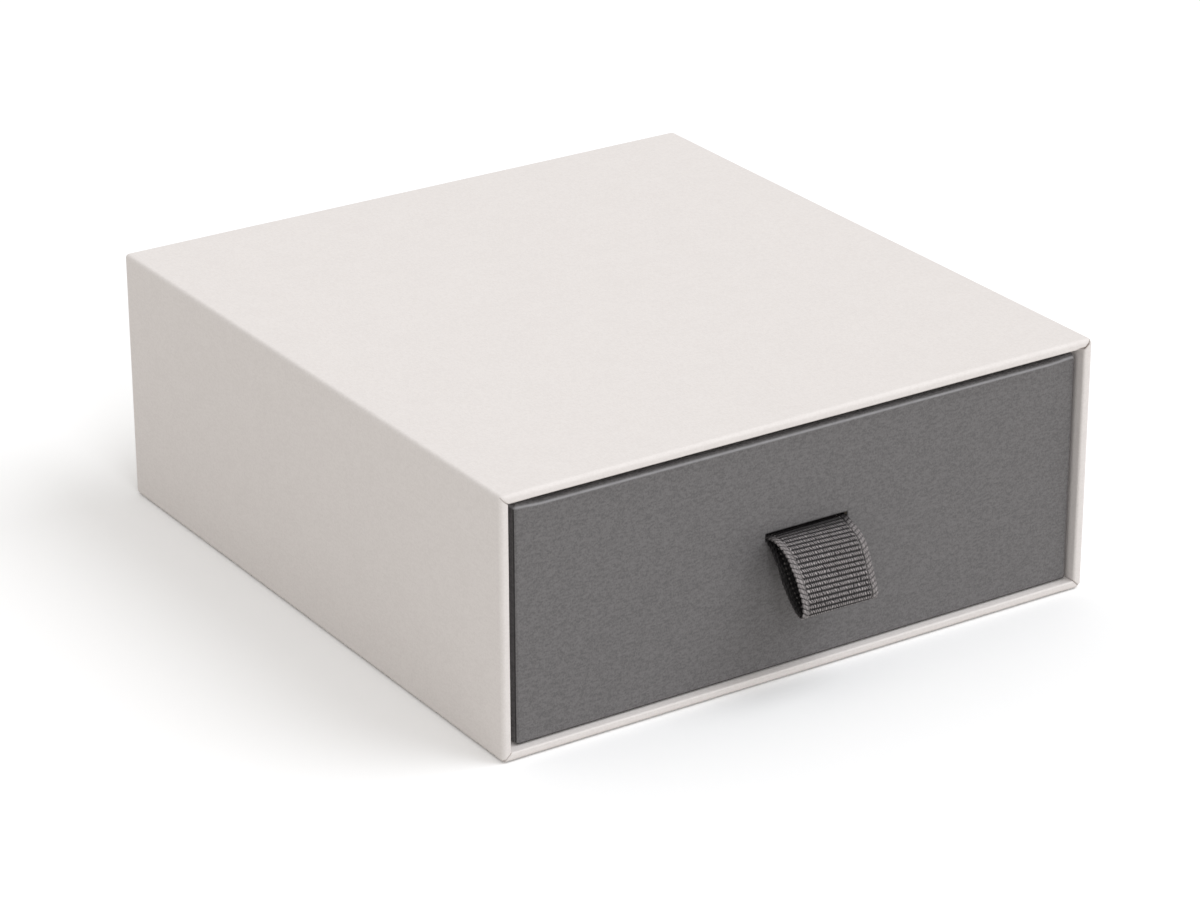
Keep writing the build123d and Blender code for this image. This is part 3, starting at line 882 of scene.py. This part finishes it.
world = bpy.data.worlds.new("studio")
bpy.context.scene.world = world
world.use_nodes = True
tree = world.node_tree
tree.nodes.clear()
output = tree.nodes.new("ShaderNodeOutputWorld")
path = put(tree, "ShaderNodeLightPath")
ambient = put(tree, "ShaderNodeBackground", {"Color": (0.985, 0.96, 0.93, 1.0), "Strength": 0.68})
white = put(tree, "ShaderNodeBackground", {"Color": (1.0, 1.0, 1.0, 1.0), "Strength": 1.0})
mixed = put(tree, "ShaderNodeMixShader", {
    0: path.outputs["Is Camera Ray"], 1: ambient.outputs[0], 2: white.outputs[0],
})
tree.links.new(mixed.outputs[0], output.inputs["Surface"])


def sun(name, strength, spread, azimuth, elevation, colour):
    """A soft distant lamp. Its angles are in degrees; azimuth turns from -Y towards +X."""
    lamp = bpy.data.lights.new(name, "SUN")
    lamp.energy = strength * pi
    lamp.angle = radians(spread)
    lamp.color = colour
    source = Vector((
        cos(radians(elevation)) * sin(radians(azimuth)),
        -cos(radians(elevation)) * cos(radians(azimuth)),
        sin(radians(elevation)),
    ))
    holder = bpy.data.objects.new(name, lamp)
    holder.rotation_euler = source.to_track_quat("Z", "Y").to_euler()
    bpy.context.scene.collection.objects.link(holder)


sun("key", 0.40, 46, 55, 50, (0.97, 0.99, 1.02))
sun("front", 0.13, 22, -12, 27, (0.97, 0.99, 1.02))

# The camera's place, in millimetres, and its lens are fitted to the box's edges in the photo.
azimuth, elevation, roll = radians(-33.20), radians(23.77), radians(-0.14)
distance = 899.66
back = Vector((sin(azimuth) * cos(elevation), -cos(azimuth) * cos(elevation), sin(elevation)))
right = Vector((cos(azimuth), sin(azimuth), 0.0))
up = back.cross(right)
target = Vector((0.0, 0.0, 27.0)) + right * 0.81 - up * 5.20
turned_right = right * cos(roll) + up * sin(roll)
turned_up = up * cos(roll) - right * sin(roll)
place = (target + back * distance) * MM
camera_data = bpy.data.cameras.new("camera")
camera_data.sensor_fit = "HORIZONTAL"
camera_data.sensor_width = 36.0
camera_data.lens = 124.92
camera = bpy.data.objects.new("camera", camera_data)
camera.matrix_world = Matrix((
    (turned_right.x, turned_up.x, back.x, place.x),
    (turned_right.y, turned_up.y, back.y, place.y),
    (turned_right.z, turned_up.z, back.z, place.z),
    (0.0, 0.0, 0.0, 1.0),
))
bpy.context.scene.collection.objects.link(camera)
bpy.context.scene.camera = camera
bpy.context.scene.view_settings.view_transform = "Standard"
